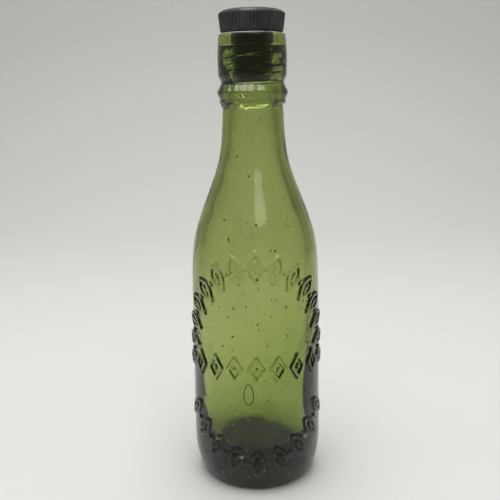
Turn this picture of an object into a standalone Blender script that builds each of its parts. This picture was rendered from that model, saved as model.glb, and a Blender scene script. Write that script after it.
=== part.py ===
# Half-pint beer bottle of green glass, with a tall applied lip that is threaded inside
# and a hard black rubber stopper that screws down into it. Metres, +Z up. The origin is
# at the centre of the ring that the bottle stands on, and the raised ornament faces -Y.

import bisect
import math

import bmesh
import bpy
from mathutils import Vector
from mathutils.geometry import interpolate_bezier

MM = 0.001
SMOOTH_BELOW = math.radians(35)

# Bottle, outside. Heights are above the ring that it stands on.
BOTTLE_SEGMENTS = 48
BODY_RADIUS = 31.45 * MM
STANDING_RADIUS = 24.3 * MM
STANDING_WIDTH = 3.0 * MM
HEEL_TOP = 21.0 * MM
HEEL_HANDLES = (12.5 * MM, 3.6 * MM)
PUSH_UP_DEPTH = 1.6 * MM
PUSH_UP_HANDLES = (0.7, 0.3)
SHOULDER_FOOT_RADIUS = 30.84 * MM
SHOULDER_FOOT_HEIGHT = 84.4 * MM
SHOULDER_MIDDLE_RADIUS = 23.56 * MM
SHOULDER_MIDDLE_HEIGHT = 136.5 * MM
SHOULDER_SLOPE = math.radians(21.1)
FOOT_HANDLE = (0.4 * MM, 31.0 * MM)
MIDDLE_HANDLES = (18.7 * MM, 19.5 * MM)
NECK_HANDLE = (0.8 * MM, 25.4 * MM)
NECK_RADIUS = 14.05 * MM
NECK_TOP = 181.7 * MM

# Lip: a V-shaped ring, a groove, and a slightly barrelled band above them.
RING_FOOT = (14.8 * MM, 183.4 * MM)
RING_RADIUS = 16.35 * MM
RING_HEIGHT = 187.2 * MM
RING_LAND = 0.35 * MM
GROOVE_RADIUS = 14.4 * MM
GROOVE_HEIGHT = 191.9 * MM
BAND_FOOT = (15.75 * MM, 194.8 * MM)
BAND_MIDDLE = (15.97 * MM, 202.5 * MM)
BAND_TOP_RADIUS = 15.4 * MM
LIP_TOP = 213.3 * MM
LIP_ROUND = 1.9 * MM

# Bottle, inside. The wall of the body grows thicker downwards, and the mouth is threaded
# up to a smooth, wider seat.
WALL = 4.6 * MM
LOW_WALL = 6.2 * MM
NECK_BORE = 9.5 * MM
FLOOR_HEIGHT = 15.5 * MM
FLOOR_DOME = 0.8 * MM
FLOOR_RADIUS = 16.5 * MM
INNER_HEEL_TOP = 31.0 * MM
INNER_HEEL_HANDLES = (6.0 * MM, 9.0 * MM)
MOUTH_BORE = 9.3 * MM
MOUTH_BORE_FOOT = 189.0 * MM
MOUTH_BORE_TOP = 206.4 * MM
SEAT_RADIUS = 10.4 * MM
SEAT_FOOT = 207.3 * MM
MOUTH_BEVEL = 0.8 * MM

# Screw thread: one right-handed helix, which the stopper's ridge and the groove in the
# mouth both follow. Its turns are counted up from THREAD_DATUM.
THREAD_PITCH = 5.6 * MM
THREAD_STEPS = 24
THREAD_TAPER = 0.25
THREAD_START_DEPTH = 0.4
THREAD_DATUM = 192.4 * MM
THREAD_ROOT = 8.75 * MM
THREAD_CREST = 9.95 * MM
THREAD_ROOT_WIDTH = 3.3 * MM
THREAD_CREST_WIDTH = 1.5 * MM
THREAD_PLAY = 0.4 * MM
FLANK_PLAY = 0.5 * MM
GROOVE_TURNS = (0.0, 2.75)
RIDGE_TURNS = (0.625, 2.3)

# Stopper.
SHANK_SEGMENTS = 40
SHANK_FOOT = 193.2 * MM
SHANK_BEVEL = 0.9 * MM
SHANK_COLLAR_RADIUS = 9.6 * MM
SHANK_COLLAR_FOOT = 207.6 * MM
HEAD_FOOT = 213.7 * MM
HEAD_FOOT_RADIUS = 14.3 * MM
HEAD_FOOT_BEVEL = 0.7 * MM
HEAD_RADIUS = 15.15 * MM
HEAD_SHOULDER = 221.2 * MM
HEAD_TOP = 224.2 * MM
HEAD_ROUND = 1.4 * MM
HEAD_RIBS = 52
RIB_DEPTH = 0.3 * MM

# Raised ornament, pressed out of the wall: an arch of open leaves, a row of open lozenges
# with a pellet in each, and a curve of open leaves below them. Widths run round the wall.
RELIEF_HEIGHT = 0.8 * MM
RELIEF_ROOT = 1.0 * MM
RELIEF_SLOPE = 0.4 * MM
STROKE = 2.4 * MM
LEAF_CORNERS = ((0.0, 1.0), (1.0, 0.25), (0.8, -0.4), (0.0, -1.0), (-0.8, -0.4), (-1.0, 0.25))
LEAF_SIZE = (8.0 * MM, 14.7 * MM)
ARCH_HALF_WIDTH = 40.0 * MM
ARCH_FOOT = 62.0 * MM
ARCH_TOP = 111.5 * MM
ARCH_LEAVES = 15
CURVE_HALF_WIDTH = 37.0 * MM
CURVE_FOOT = 16.5 * MM
CURVE_RISE = 21.0 * MM
CURVE_LEAVES = 9
LOZENGE_CORNERS = ((0.0, 1.0), (1.0, 0.0), (0.0, -1.0), (-1.0, 0.0))
LOZENGE_SIZE = (9.2 * MM, 13.4 * MM)
ROW_HALF_WIDTH = 31.0 * MM
ROW_HEIGHT = 62.8 * MM
ROW_LOZENGES = 7
PELLET_SIZE = (2.0 * MM, 2.8 * MM)
PELLET_STEPS = ((-RELIEF_ROOT, 0.0), (-RELIEF_ROOT, 1.0), (0.6 * RELIEF_HEIGHT, 0.7), (RELIEF_HEIGHT, 0.0))
PATH_STEPS = 400


def clear_scene():
    for obj in list(bpy.data.objects):
        bpy.data.objects.remove(obj, do_unlink=True)


def link_mesh(name, bm, collection):
    bmesh.ops.recalc_face_normals(bm, faces=bm.faces)
    mesh = bpy.data.meshes.new(name)
    bm.to_mesh(mesh)
    bm.free()
    obj = bpy.data.objects.new(name, mesh)
    collection.objects.link(obj)
    return obj


def skin(bm, ring_pairs):
    """Faces between rings of points. A ring of one point closes the shape like a pole."""
    for low, high in ring_pairs:
        count = max(len(low), len(high))
        for k in range(count):
            following = (k + 1) % count
            corners = [low[k % len(low)], low[following % len(low)]]
            corners += [high[following % len(high)], high[k % len(high)]]
            bm.faces.new(list(dict.fromkeys(corners)))


def arc(centre, radii, start_degrees, end_degrees, steps):
    """Points (radius, height) on an elliptical arc, with 0 degrees outwards and 90 up."""
    points = []
    for i in range(steps + 1):
        angle = math.radians(start_degrees + (end_degrees - start_degrees) * i / steps)
        radius = centre[0] + radii[0] * math.cos(angle)
        points.append((radius, centre[1] + radii[1] * math.sin(angle)))
    return points


def bezier(start, start_handle, end_handle, end, steps):
    knots = [Vector((*knot, 0.0)) for knot in (start, start_handle, end_handle, end)]
    return [(point.x, point.y) for point in interpolate_bezier(*knots, steps + 1)]


def turned(name, outline, segments, radius_at=None):
    """A solid turned about Z from an outline whose first and last points are on the axis."""
    bm = bmesh.new()
    rings = []
    for index, (radius, height) in enumerate(outline):
        on_axis = index in (0, len(outline) - 1)
        ring = []
        for segment in range(1 if on_axis else segments):
            angle = 2 * math.pi * segment / segments
            reach = radius_at(radius, segment) if radius_at else radius
            reach = 0.0 if on_axis else reach
            ring.append(bm.verts.new((reach * math.cos(angle), reach * math.sin(angle), height)))
        rings.append(ring)
    skin(bm, zip(rings, rings[1:]))
    return link_mesh(name, bm, bpy.context.scene.collection)


def shoulder(inset, neck_radius, steps):
    """The S-shaped shoulder from the neck down to the body, set into the wall by inset."""
    down = Vector((math.sin(SHOULDER_SLOPE), -math.cos(SHOULDER_SLOPE)))
    inward = Vector((-math.cos(SHOULDER_SLOPE), -math.sin(SHOULDER_SLOPE)))
    middle = Vector((SHOULDER_MIDDLE_RADIUS, SHOULDER_MIDDLE_HEIGHT)) + inset * inward
    neck = (neck_radius, NECK_TOP)
    neck_handle = (neck_radius + NECK_HANDLE[0], NECK_TOP - NECK_HANDLE[1])
    foot = (SHOULDER_FOOT_RADIUS - inset, SHOULDER_FOOT_HEIGHT)
    foot_handle = (foot[0] - FOOT_HANDLE[0], foot[1] + FOOT_HANDLE[1])
    lower_handle, upper_handle = MIDDLE_HANDLES
    upper = bezier(neck, neck_handle, middle - down * upper_handle, middle, steps)
    lower = bezier(middle, middle + down * lower_handle, foot_handle, foot, steps)
    return upper + lower[1:]


def inner_outline():
    """From the middle of the floor up the inside of the bottle to the mouth."""
    floor = arc((0.0, FLOOR_HEIGHT), (FLOOR_RADIUS, FLOOR_DOME), 90, 0, 3)
    heel_radius = BODY_RADIUS - LOW_WALL
    floor_handle, wall_handle = INNER_HEEL_HANDLES
    heel = bezier(
        (FLOOR_RADIUS, FLOOR_HEIGHT),
        (FLOOR_RADIUS + floor_handle, FLOOR_HEIGHT),
        (heel_radius, INNER_HEEL_TOP - wall_handle),
        (heel_radius, INNER_HEEL_TOP),
        5,
    )
    wall = shoulder(WALL, NECK_BORE, 4)[::-1]
    mouth = [
        (MOUTH_BORE, MOUTH_BORE_FOOT),
        (MOUTH_BORE, MOUTH_BORE_TOP),
        (SEAT_RADIUS, SEAT_FOOT),
        (SEAT_RADIUS, LIP_TOP - MOUTH_BEVEL),
        (SEAT_RADIUS + MOUTH_BEVEL, LIP_TOP),
    ]
    return floor[:-1] + heel + wall + mouth


def lip_outline():
    """From the top of the lip down its outside to the neck."""
    edge = arc((BAND_TOP_RADIUS - LIP_ROUND, LIP_TOP - LIP_ROUND), (LIP_ROUND, LIP_ROUND), 90, 0, 4)
    collar = [
        (GROOVE_RADIUS, GROOVE_HEIGHT + RING_LAND),
        (GROOVE_RADIUS, GROOVE_HEIGHT - RING_LAND),
        (RING_RADIUS, RING_HEIGHT + RING_LAND),
        (RING_RADIUS, RING_HEIGHT - RING_LAND),
        RING_FOOT,
    ]
    return edge + [BAND_MIDDLE, BAND_FOOT] + collar


def wall_outline():
    """From the top of the neck down the outside of the bottle to the ring it stands on."""
    body_handle, standing_handle = HEEL_HANDLES
    heel = bezier(
        (BODY_RADIUS, HEEL_TOP),
        (BODY_RADIUS, HEEL_TOP - body_handle),
        (STANDING_RADIUS + standing_handle, 0.0),
        (STANDING_RADIUS, 0.0),
        7,
    )
    return shoulder(0.0, NECK_RADIUS, 7) + heel


def push_up_outline():
    """From the inner edge of the ring that the bottle stands on to the middle of its base."""
    edge = STANDING_RADIUS - STANDING_WIDTH
    handles = [(edge * share, PUSH_UP_DEPTH) for share in PUSH_UP_HANDLES]
    return bezier((edge, 0.0), *handles, (0.0, PUSH_UP_DEPTH), 4)


def wall_radius(height):
    """Outer radius of the plain wall at a height."""
    points = wall_outline()
    for (high_radius, high), (low_radius, low) in zip(points, points[1:]):
        if low <= height <= high:
            return low_radius + (high_radius - low_radius) * (height - low) / (high - low)
    return NECK_RADIUS


def helix(name, turns, crest, root_width, crest_width):
    """A bar of trapezoid section wound round Z, which grows shallower at both of its ends."""
    bm = bmesh.new()
    steps = round((turns[1] - turns[0]) * THREAD_STEPS)
    taper = THREAD_STEPS * THREAD_TAPER
    sections = []
    for i in range(steps + 1):
        turn = turns[0] + i / THREAD_STEPS
        fullness = min(1.0, (i + 1) / taper, (steps - i + 1) / taper)
        depth = THREAD_START_DEPTH + (1 - THREAD_START_DEPTH) * fullness
        reach = THREAD_ROOT + (crest - THREAD_ROOT) * depth
        corners = (
            (THREAD_ROOT - THREAD_PLAY, -root_width / 2),
            (reach, -crest_width / 2),
            (reach, crest_width / 2),
            (THREAD_ROOT - THREAD_PLAY, root_width / 2),
        )
        section = []
        for radius, rise in corners:
            angle = 2 * math.pi * turn
            height = THREAD_DATUM + THREAD_PITCH * turn + rise
            section.append(bm.verts.new((radius * math.cos(angle), radius * math.sin(angle), height)))
        sections.append(section)
    skin(bm, zip(sections, sections[1:]))
    bm.faces.new(sections[0])
    bm.faces.new(sections[-1])
    return link_mesh(name, bm, bpy.context.scene.collection)


def evenly_along(path, count):
    """Places at like distances along a path, each with the tilt that its upper side has."""
    fine = [Vector(path(i / PATH_STEPS)) for i in range(PATH_STEPS + 1)]
    lengths = [0.0]
    for here, there in zip(fine, fine[1:]):
        lengths.append(lengths[-1] + (there - here).length)
    places = []
    for k in range(count):
        index = min(bisect.bisect_left(lengths, lengths[-1] * k / (count - 1)), PATH_STEPS)
        ahead = fine[min(index + 1, PATH_STEPS)] - fine[max(index - 1, 0)]
        places.append((fine[index], math.atan2(-ahead.y, ahead.x)))
    return places


def arch_path(u):
    angle = math.pi * (1 - u)
    return (ARCH_HALF_WIDTH * math.cos(angle), ARCH_FOOT + (ARCH_TOP - ARCH_FOOT) * math.sin(angle))


def row_path(u):
    return (ROW_HALF_WIDTH * (2 * u - 1), ROW_HEIGHT)


def curve_path(u):
    return (CURVE_HALF_WIDTH * (2 * u - 1), CURVE_FOOT + CURVE_RISE * (2 * u - 1) ** 2)


def raised(name, place, tilt, corners, size, profile, collection):
    """A boss on the wall. profile holds steps (level over the wall, scale of the corners). A
    scale of zero is a point in the middle, and without one the steps close into a ring."""
    bm = bmesh.new()
    rings = []
    for level, scale in profile:
        ring = []
        for corner in corners if scale else corners[:1]:
            across = corner[0] * scale * size[0] / 2
            along = corner[1] * scale * size[1] / 2
            round_wall = place[0] + across * math.cos(tilt) + along * math.sin(tilt)
            height = place[1] + along * math.cos(tilt) - across * math.sin(tilt)
            angle = round_wall / BODY_RADIUS - math.pi / 2
            reach = wall_radius(height) + level
            ring.append(bm.verts.new((reach * math.cos(angle), reach * math.sin(angle), height)))
        rings.append(ring)
    pairs = list(zip(rings, rings[1:]))
    if profile[0][1]:
        pairs.append((rings[-1], rings[0]))
    skin(bm, pairs)
    return link_mesh(name, bm, collection)


def add_open_shape(name, place, tilt, corners, size, collection):
    """An outline as wide as one stroke, with sloping sides."""
    inscribed = size[0] * size[1] / math.hypot(*size) / 2
    profile = [
        (-RELIEF_ROOT, 1.0),
        (0.0, 1.0),
        (RELIEF_HEIGHT, 1 - RELIEF_SLOPE / inscribed),
        (RELIEF_HEIGHT, 1 - (STROKE - RELIEF_SLOPE) / inscribed),
        (-RELIEF_ROOT, 1 - STROKE / inscribed),
    ]
    raised(name, place, tilt, corners, size, profile, collection)


def boolean(obj, operation, other):
    """Applies a Boolean with an object or a whole collection, and removes what it used."""
    cut = obj.modifiers.new(operation.lower(), "BOOLEAN")
    cut.operation = operation
    if isinstance(other, bpy.types.Collection):
        cut.operand_type = "COLLECTION"
        cut.collection = other
        used = list(other.objects)
    else:
        cut.object = other
        used = [other]
    bpy.context.view_layer.update()
    evaluated = obj.evaluated_get(bpy.context.evaluated_depsgraph_get())
    mesh = bpy.data.meshes.new_from_object(evaluated)
    obj.modifiers.clear()
    obj.data = mesh
    for item in used:
        bpy.data.objects.remove(item, do_unlink=True)


def make_ornament():
    ornament = bpy.data.collections.new("ornament")
    bpy.context.scene.collection.children.link(ornament)
    for path, count in ((arch_path, ARCH_LEAVES), (curve_path, CURVE_LEAVES)):
        for place, tilt in evenly_along(path, count):
            add_open_shape("leaf", place, tilt, LEAF_CORNERS, LEAF_SIZE, ornament)
    for place, tilt in evenly_along(row_path, ROW_LOZENGES):
        add_open_shape("lozenge", place, tilt, LOZENGE_CORNERS, LOZENGE_SIZE, ornament)
        raised("pellet", place, tilt, LEAF_CORNERS, PELLET_SIZE, PELLET_STEPS, ornament)
    return ornament


def make_bottle():
    outline = inner_outline() + lip_outline() + wall_outline() + push_up_outline()
    bottle = turned("bottle", outline, BOTTLE_SEGMENTS)
    ornament = make_ornament()
    boolean(bottle, "UNION", ornament)
    bpy.data.collections.remove(ornament)
    groove = helix(
        "groove",
        GROOVE_TURNS,
        THREAD_CREST + THREAD_PLAY,
        THREAD_ROOT_WIDTH + 2 * FLANK_PLAY,
        THREAD_CREST_WIDTH + FLANK_PLAY,
    )
    boolean(bottle, "DIFFERENCE", groove)
    return bottle


def rib_radius(radius, segment):
    """Every second point of the head's side is drawn in, which leaves upright ribs."""
    return radius - RIB_DEPTH if radius >= HEAD_FOOT_RADIUS and segment % 2 else radius


def make_stopper():
    edge = arc((HEAD_RADIUS - HEAD_ROUND, HEAD_SHOULDER), (HEAD_ROUND, HEAD_ROUND), 30, 75, 2)
    dome_radius, dome_foot = edge[-1]
    dome = arc((0.0, dome_foot), (dome_radius, HEAD_TOP - dome_foot), 50, 90, 2)
    head_outline = [
        (0.0, HEAD_FOOT),
        (HEAD_FOOT_RADIUS - HEAD_FOOT_BEVEL, HEAD_FOOT),
        (HEAD_FOOT_RADIUS, HEAD_FOOT + HEAD_FOOT_BEVEL),
        (HEAD_RADIUS, HEAD_SHOULDER),
        *edge,
        *dome,
    ]
    stopper = turned("stopper", head_outline, 2 * HEAD_RIBS, rib_radius)
    shank_outline = [
        (0.0, SHANK_FOOT),
        (THREAD_ROOT - SHANK_BEVEL, SHANK_FOOT),
        (THREAD_ROOT, SHANK_FOOT + SHANK_BEVEL),
        (THREAD_ROOT, SHANK_COLLAR_FOOT),
        (SHANK_COLLAR_RADIUS, SHANK_COLLAR_FOOT),
        (SHANK_COLLAR_RADIUS, HEAD_FOOT + HEAD_FOOT_BEVEL),
        (0.0, HEAD_FOOT + HEAD_FOOT_BEVEL),
    ]
    shank = turned("shank", shank_outline, SHANK_SEGMENTS)
    ridge = helix("ridge", RIDGE_TURNS, THREAD_CREST, THREAD_ROOT_WIDTH, THREAD_CREST_WIDTH)
    boolean(shank, "UNION", ridge)
    boolean(stopper, "UNION", shank)
    return stopper


def finish(obj, colour, roughness, transmission=0.0, ior=1.5):
    material = bpy.data.materials.new(obj.name + "_material")
    material.use_nodes = True
    shader = material.node_tree.nodes["Principled BSDF"]
    shader.inputs["Base Color"].default_value = (*colour, 1.0)
    shader.inputs["Roughness"].default_value = roughness
    shader.inputs["Metallic"].default_value = 0.0
    shader.inputs["Transmission Weight"].default_value = transmission
    shader.inputs["IOR"].default_value = ior
    obj.data.materials.clear()
    obj.data.materials.append(material)
    obj.data.shade_smooth()
    obj.data.set_sharp_from_angle(angle=SMOOTH_BELOW)


clear_scene()
finish(make_bottle(), (0.26, 0.36, 0.12), 0.06, transmission=1.0, ior=1.52)
finish(make_stopper(), (0.035, 0.028, 0.03), 0.55)
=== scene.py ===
# Old half-pint beer bottle in olive green glass, closed by a screw stopper of hard black
# rubber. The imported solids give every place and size; this script gives the surfaces.

import math

import bmesh
import bpy
from mathutils import Matrix, Vector
from mathutils.geometry import interpolate_bezier


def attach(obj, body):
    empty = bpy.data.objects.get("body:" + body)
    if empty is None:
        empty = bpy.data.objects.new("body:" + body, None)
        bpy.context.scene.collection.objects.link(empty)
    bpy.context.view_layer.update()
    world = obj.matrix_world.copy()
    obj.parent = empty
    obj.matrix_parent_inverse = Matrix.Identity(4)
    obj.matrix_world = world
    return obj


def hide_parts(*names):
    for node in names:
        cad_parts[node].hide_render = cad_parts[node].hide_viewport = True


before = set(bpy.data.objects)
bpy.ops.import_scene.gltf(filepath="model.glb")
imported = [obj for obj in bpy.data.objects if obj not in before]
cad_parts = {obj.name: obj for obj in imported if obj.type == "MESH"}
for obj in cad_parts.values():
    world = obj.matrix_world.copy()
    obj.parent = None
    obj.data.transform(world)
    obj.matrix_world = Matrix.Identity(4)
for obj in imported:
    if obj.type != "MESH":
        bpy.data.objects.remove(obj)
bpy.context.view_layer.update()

# Green glass. Plain bottle glass, coloured by the iron in its sand: the thicker it is, the
# darker and greener. Its surface is fire-polished but faintly streaky from the mould, and
# it is scuffed where the bottle has stood and been knocked.

MM = 0.001
GLASS_IOR = 1.52
GLASS_DEPTH_COLOUR = (0.565, 0.657, 0.117)
GLASS_DENSITY = 230.0
GLASS_ROUGHNESS = 0.012
SCUFF_ROUGHNESS = 0.28
STREAK_SCALE = (70.0, 70.0, 9.0)
STREAK_DEPTH = 0.05 * MM
SCUFF_SCALE = 900.0
SCUFFED_GRAIN = (0.52, 0.66)
HEEL_SCUFF_TOP = 9.0 * MM
# Painted shade: a near-black layer mixed into the glass where it is seen at a glancing angle, low in the
# body and in the mouth, darkens the edges.
PAINTED_SHADE_COLOUR = (0.005, 0.0052, 0.0046)
PAINTED_SHADE_ROUGHNESS = 0.7
PAINTED_SHADE_GLOSS = 0.25
PAINTED_SHADE_GLANCING = (0.3, 0.9)
PAINTED_SHADE_PATCHES = 90.0
PAINTED_SHADE_GAPS = (0.53, 0.58)
PAINTED_SHADE_BREAKS_UP = (150.0 * MM, 160.0 * MM)
# Painted shade: a darker patch on the inner floor of the glass.
PAINTED_FLOOR_SHADE_COLOUR = (0.023, 0.025, 0.018)
PAINTED_FLOOR_SHADE_EDGE = (21.5 * MM, 16.0 * MM)
PAINTED_FLOOR_SHADE_TOP = (25.0 * MM, 19.0 * MM)
PAINTED_FLOOR_SHADE_SHARE = 0.75
# Painted highlight: a pale patchy band along the top of the rim.
PAINTED_RIM_HIGHLIGHT_COLOUR = (0.78, 0.8, 0.76)
RIM_HIGHLIGHT_ROUGHNESS = 0.6
RIM_HIGHLIGHT_BAND = (212.75 * MM, 213.1 * MM)
RIM_HIGHLIGHT_PATCHES = (0.35, 0.6)
RIM_HIGHLIGHT_SHARES = (0.22, 0.45)


class Wire:
    """One output in a node tree. Arithmetic on wires adds Math nodes, and node() adds a node
    of any other kind, with its settings first and then the values or links of its sockets."""

    def __init__(self, tree, socket=None):
        self.tree = tree
        self.socket = socket

    def node(self, kind, settings=None, inputs=None, output=0):
        made = self.tree.nodes.new(kind)
        for name, value in (settings or {}).items():
            setattr(made, name, value)
        for key, value in (inputs or {}).items():
            if isinstance(value, Wire):
                self.tree.links.new(value.socket, made.inputs[key])
            else:
                made.inputs[key].default_value = value
        return Wire(self.tree, made.outputs[output] if made.outputs else None)

    def also(self, output):
        return Wire(self.tree, self.socket.node.outputs[output])

    def math(self, operation, *values):
        return self.node("ShaderNodeMath", {"operation": operation}, dict(enumerate(values)))

    def between(self, low, high):
        """0 at low, 1 at high, and a smooth rise from one to the other."""
        ends = {"Value": self, "From Min": low, "From Max": high}
        return self.node("ShaderNodeMapRange", {"interpolation_type": "SMOOTHSTEP"}, ends)

    def split(self):
        parts = self.node("ShaderNodeSeparateXYZ", inputs={0: self})
        return parts, parts.also("Y"), parts.also("Z")

    def __add__(self, other):
        return self.math("ADD", self, other)

    def __sub__(self, other):
        return self.math("SUBTRACT", self, other)

    def __rsub__(self, other):
        return self.math("SUBTRACT", other, self)

    def __mul__(self, other):
        return self.math("MULTIPLY", self, other)

    def __truediv__(self, other):
        return self.math("DIVIDE", self, other)

    def __abs__(self):
        return self.math("ABSOLUTE", self)

    __radd__ = __add__
    __rmul__ = __mul__


def new_material(name, settings):
    """A material with a Principled shader, its plain values set, and a wire to build from."""
    material = bpy.data.materials.new(name)
    material.use_nodes = True
    shader = material.node_tree.nodes["Principled BSDF"]
    for socket_name, value in settings.items():
        shader.inputs[socket_name].default_value = value
    return material, shader, Wire(material.node_tree)


def feed(shader, socket_name, wire):
    wire.tree.links.new(wire.socket, shader.inputs[socket_name])


def green_glass():
    """Clear glass that absorbs by depth. Low in the body and in the mouth, a near-black layer is mixed
    in where the wall is seen at a glancing angle: painted shade that darkens the edges. On the floor
    a darker patch is painted shade, and a pale patchy band along the rim is a painted highlight."""
    settings = {"Base Color": (0.985, 0.99, 0.975, 1.0), "Transmission Weight": 1.0, "IOR": GLASS_IOR}
    material, shader, wire = new_material("green_glass", settings)
    place = wire.node("ShaderNodeTexCoord", output="Object")
    x, y, height = place.split()
    reach = wire.math("SQRT", x * x + y * y)
    streaks = wire.node("ShaderNodeMapping", inputs={"Vector": place, "Scale": STREAK_SCALE})
    streaks = wire.node("ShaderNodeTexNoise", inputs={"Vector": streaks, "Scale": 1.0, "Detail": 3.0})
    bump = {"Height": streaks, "Distance": STREAK_DEPTH, "Strength": 1.0}
    feed(shader, "Normal", wire.node("ShaderNodeBump", inputs=bump))
    grain = wire.node("ShaderNodeTexNoise", inputs={"Vector": place, "Scale": SCUFF_SCALE, "Detail": 2.0})
    foot = 1.0 - height.between(0.0, HEEL_SCUFF_TOP)
    scuffs = (grain.between(*SCUFFED_GRAIN) * foot) * SCUFF_ROUGHNESS
    feed(shader, "Roughness", scuffs + GLASS_ROUGHNESS)
    absorbed = {"Color": (*GLASS_DEPTH_COLOUR, 1.0), "Density": GLASS_DENSITY}
    volume = wire.node("ShaderNodeVolumeAbsorption", inputs=absorbed)
    # Painted shade: a darker patch on the inner floor.
    floor_shade = height.between(*PAINTED_FLOOR_SHADE_TOP) * reach.between(*PAINTED_FLOOR_SHADE_EDGE)
    tones = {0: floor_shade, 6: (*PAINTED_SHADE_COLOUR, 1.0), 7: (*PAINTED_FLOOR_SHADE_COLOUR, 1.0)}
    tone = wire.node("ShaderNodeMix", {"data_type": "RGBA"}, tones, 2)
    painted_shade_values = {"Base Color": tone, "Roughness": PAINTED_SHADE_ROUGHNESS, "Specular IOR Level": PAINTED_SHADE_GLOSS}
    film = wire.node("ShaderNodeBsdfPrincipled", inputs=painted_shade_values)
    # Painted shade: a near-black layer mixed in at glancing angles, low in the body and in the mouth, with
    # gaps in the mouth. It darkens the edges.
    kept = wire.node("ShaderNodeFresnel", inputs={"IOR": GLASS_IOR}).between(*PAINTED_SHADE_GLANCING)
    patches = wire.node("ShaderNodeTexNoise", inputs={"Vector": place, "Scale": PAINTED_SHADE_PATCHES, "Detail": 1.0})
    bare = height.between(*PAINTED_SHADE_BREAKS_UP) * patches.between(*PAINTED_SHADE_GAPS)
    inside = wire.node("ShaderNodeAttribute", {"attribute_name": "film"}, output="Fac")
    painted_shade_share = inside * kept.math("MAXIMUM", kept, floor_shade * PAINTED_FLOOR_SHADE_SHARE) * (1.0 - bare)
    clear = Wire(wire.tree, shader.outputs[0])
    skin = wire.node("ShaderNodeMixShader", inputs={0: painted_shade_share, 1: clear, 2: film})
    # Painted highlight: a pale, patchy band along the top of the rim.
    rim_highlight_values = {"Base Color": (*PAINTED_RIM_HIGHLIGHT_COLOUR, 1.0), "Roughness": RIM_HIGHLIGHT_ROUGHNESS}
    rim_highlight = wire.node("ShaderNodeBsdfPrincipled", inputs=rim_highlight_values)
    least, patchy = RIM_HIGHLIGHT_SHARES
    wear_and_painted_highlight = height.between(*RIM_HIGHLIGHT_BAND) * (patches.between(*RIM_HIGHLIGHT_PATCHES) * patchy + least)
    skin = wire.node("ShaderNodeMixShader", inputs={0: wear_and_painted_highlight, 1: skin, 2: rim_highlight})
    output = material.node_tree.nodes["Material Output"]
    material.node_tree.links.new(skin.socket, output.inputs["Surface"])
    material.node_tree.links.new(volume.socket, output.inputs["Volume"])
    return material


glass_material = green_glass()

# Raised ornament. The mould pressed three bands of it out of the wall, each stroke a low
# rounded ridge: an arch of veined leaves with pellets between them, a straight row of
# open lozenges, and a hanging curve of leaves. It is drawn flat here, as lines, and the
# wall of the bottle then rises over those lines.

BODY_RADIUS = 31.45 * MM
ARCH_HALF_WIDTH = 40.0 * MM
ARCH_FOOT = 62.0 * MM
ARCH_TOP = 111.5 * MM
ARCH_LEAVES = 15
ROW_HALF_WIDTH = 31.0 * MM
ROW_HEIGHT = 62.8 * MM
ROW_LOZENGES = 7
CURVE_HALF_WIDTH = 37.0 * MM
CURVE_FOOT = 16.5 * MM
CURVE_RISE = 21.0 * MM
CURVE_LEAVES = 9
LEAF_SIZE = (5.6 * MM, 12.3 * MM)
LEAF_STEPS = 10
LEAF_FULLNESS = 1.15
LEAF_VEIN = (-0.16, 0.14)
LOZENGE_SIZE = (6.8 * MM, 11.0 * MM)
PELLET_LENGTH = 0.9 * MM
PATH_STEPS = 200
SOCKET_KINDS = {
    int: "NodeSocketInt",
    float: "NodeSocketFloat",
    bpy.types.Object: "NodeSocketObject",
    bpy.types.Material: "NodeSocketMaterial",
}


def geometry_tree(name, values):
    """An empty Geometry Nodes tree with a named input for each value, and its input wires."""
    tree = bpy.data.node_groups.new(name, "GeometryNodeTree")
    tree.is_modifier = True
    tree.interface.new_socket("Geometry", in_out="OUTPUT", socket_type="NodeSocketGeometry")
    tree.interface.new_socket("Geometry", in_out="INPUT", socket_type="NodeSocketGeometry")
    for label, value in {"Material": glass_material, **values}.items():
        tree.interface.new_socket(label, in_out="INPUT", socket_type=SOCKET_KINDS[type(value)])
    source = tree.nodes.new("NodeGroupInput")
    return tree, {socket.name: Wire(tree, socket) for socket in source.outputs if socket.name}


def end_tree(geometry, material):
    """Every tree ends alike: its instances are made real, and it takes its material."""
    real = geometry.node("GeometryNodeRealizeInstances", inputs={"Geometry": geometry})
    dressed = real.node("GeometryNodeSetMaterial", inputs={"Geometry": real, "Material": material})
    dressed.node("NodeGroupOutput", inputs={0: dressed})


def link(name, mesh):
    piece = bpy.data.objects.new(name, mesh)
    bpy.context.scene.collection.objects.link(piece)
    return piece


def grown(name, mesh, tree, material, values):
    """Runs a tree over a mesh, and returns what it makes as a plain mesh object."""
    seed = link(name + "_seed", mesh)
    modifier = seed.modifiers.new(tree.name, "NODES")
    modifier.node_group = tree
    values = {"Material": material, **values}
    for item in tree.interface.items_tree:
        if item.in_out == "INPUT" and item.name in values:
            modifier[item.identifier] = values[item.name]
    depsgraph = bpy.context.evaluated_depsgraph_get()
    result = bpy.data.meshes.new_from_object(seed.evaluated_get(depsgraph), depsgraph=depsgraph)
    bpy.data.objects.remove(seed)
    return link(name, result)


def line_mesh(name, lines):
    """A mesh of edges alone, from lists of (across, up) points."""
    points, edges = [], []
    for line in lines:
        edges += [(len(points) + i, len(points) + i + 1) for i in range(len(line) - 1)]
        points += [(across, 0.0, up) for across, up in line]
    mesh = bpy.data.meshes.new(name)
    mesh.from_pydata(points, edges, [])
    return mesh


def leaf_lines():
    """A pointed leaf, widest a little above its middle, with a short vein."""
    width, length = LEAF_SIZE
    side = []
    for i in range(LEAF_STEPS + 1):
        share = i / LEAF_STEPS
        across = width / 2 * math.sin(math.pi * share**LEAF_FULLNESS)
        side.append((across, length * (share - 0.5)))
    outline = side + [(-across, up) for across, up in side[-2::-1]]
    return [outline, [(0.0, end * length) for end in LEAF_VEIN]]


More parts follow.
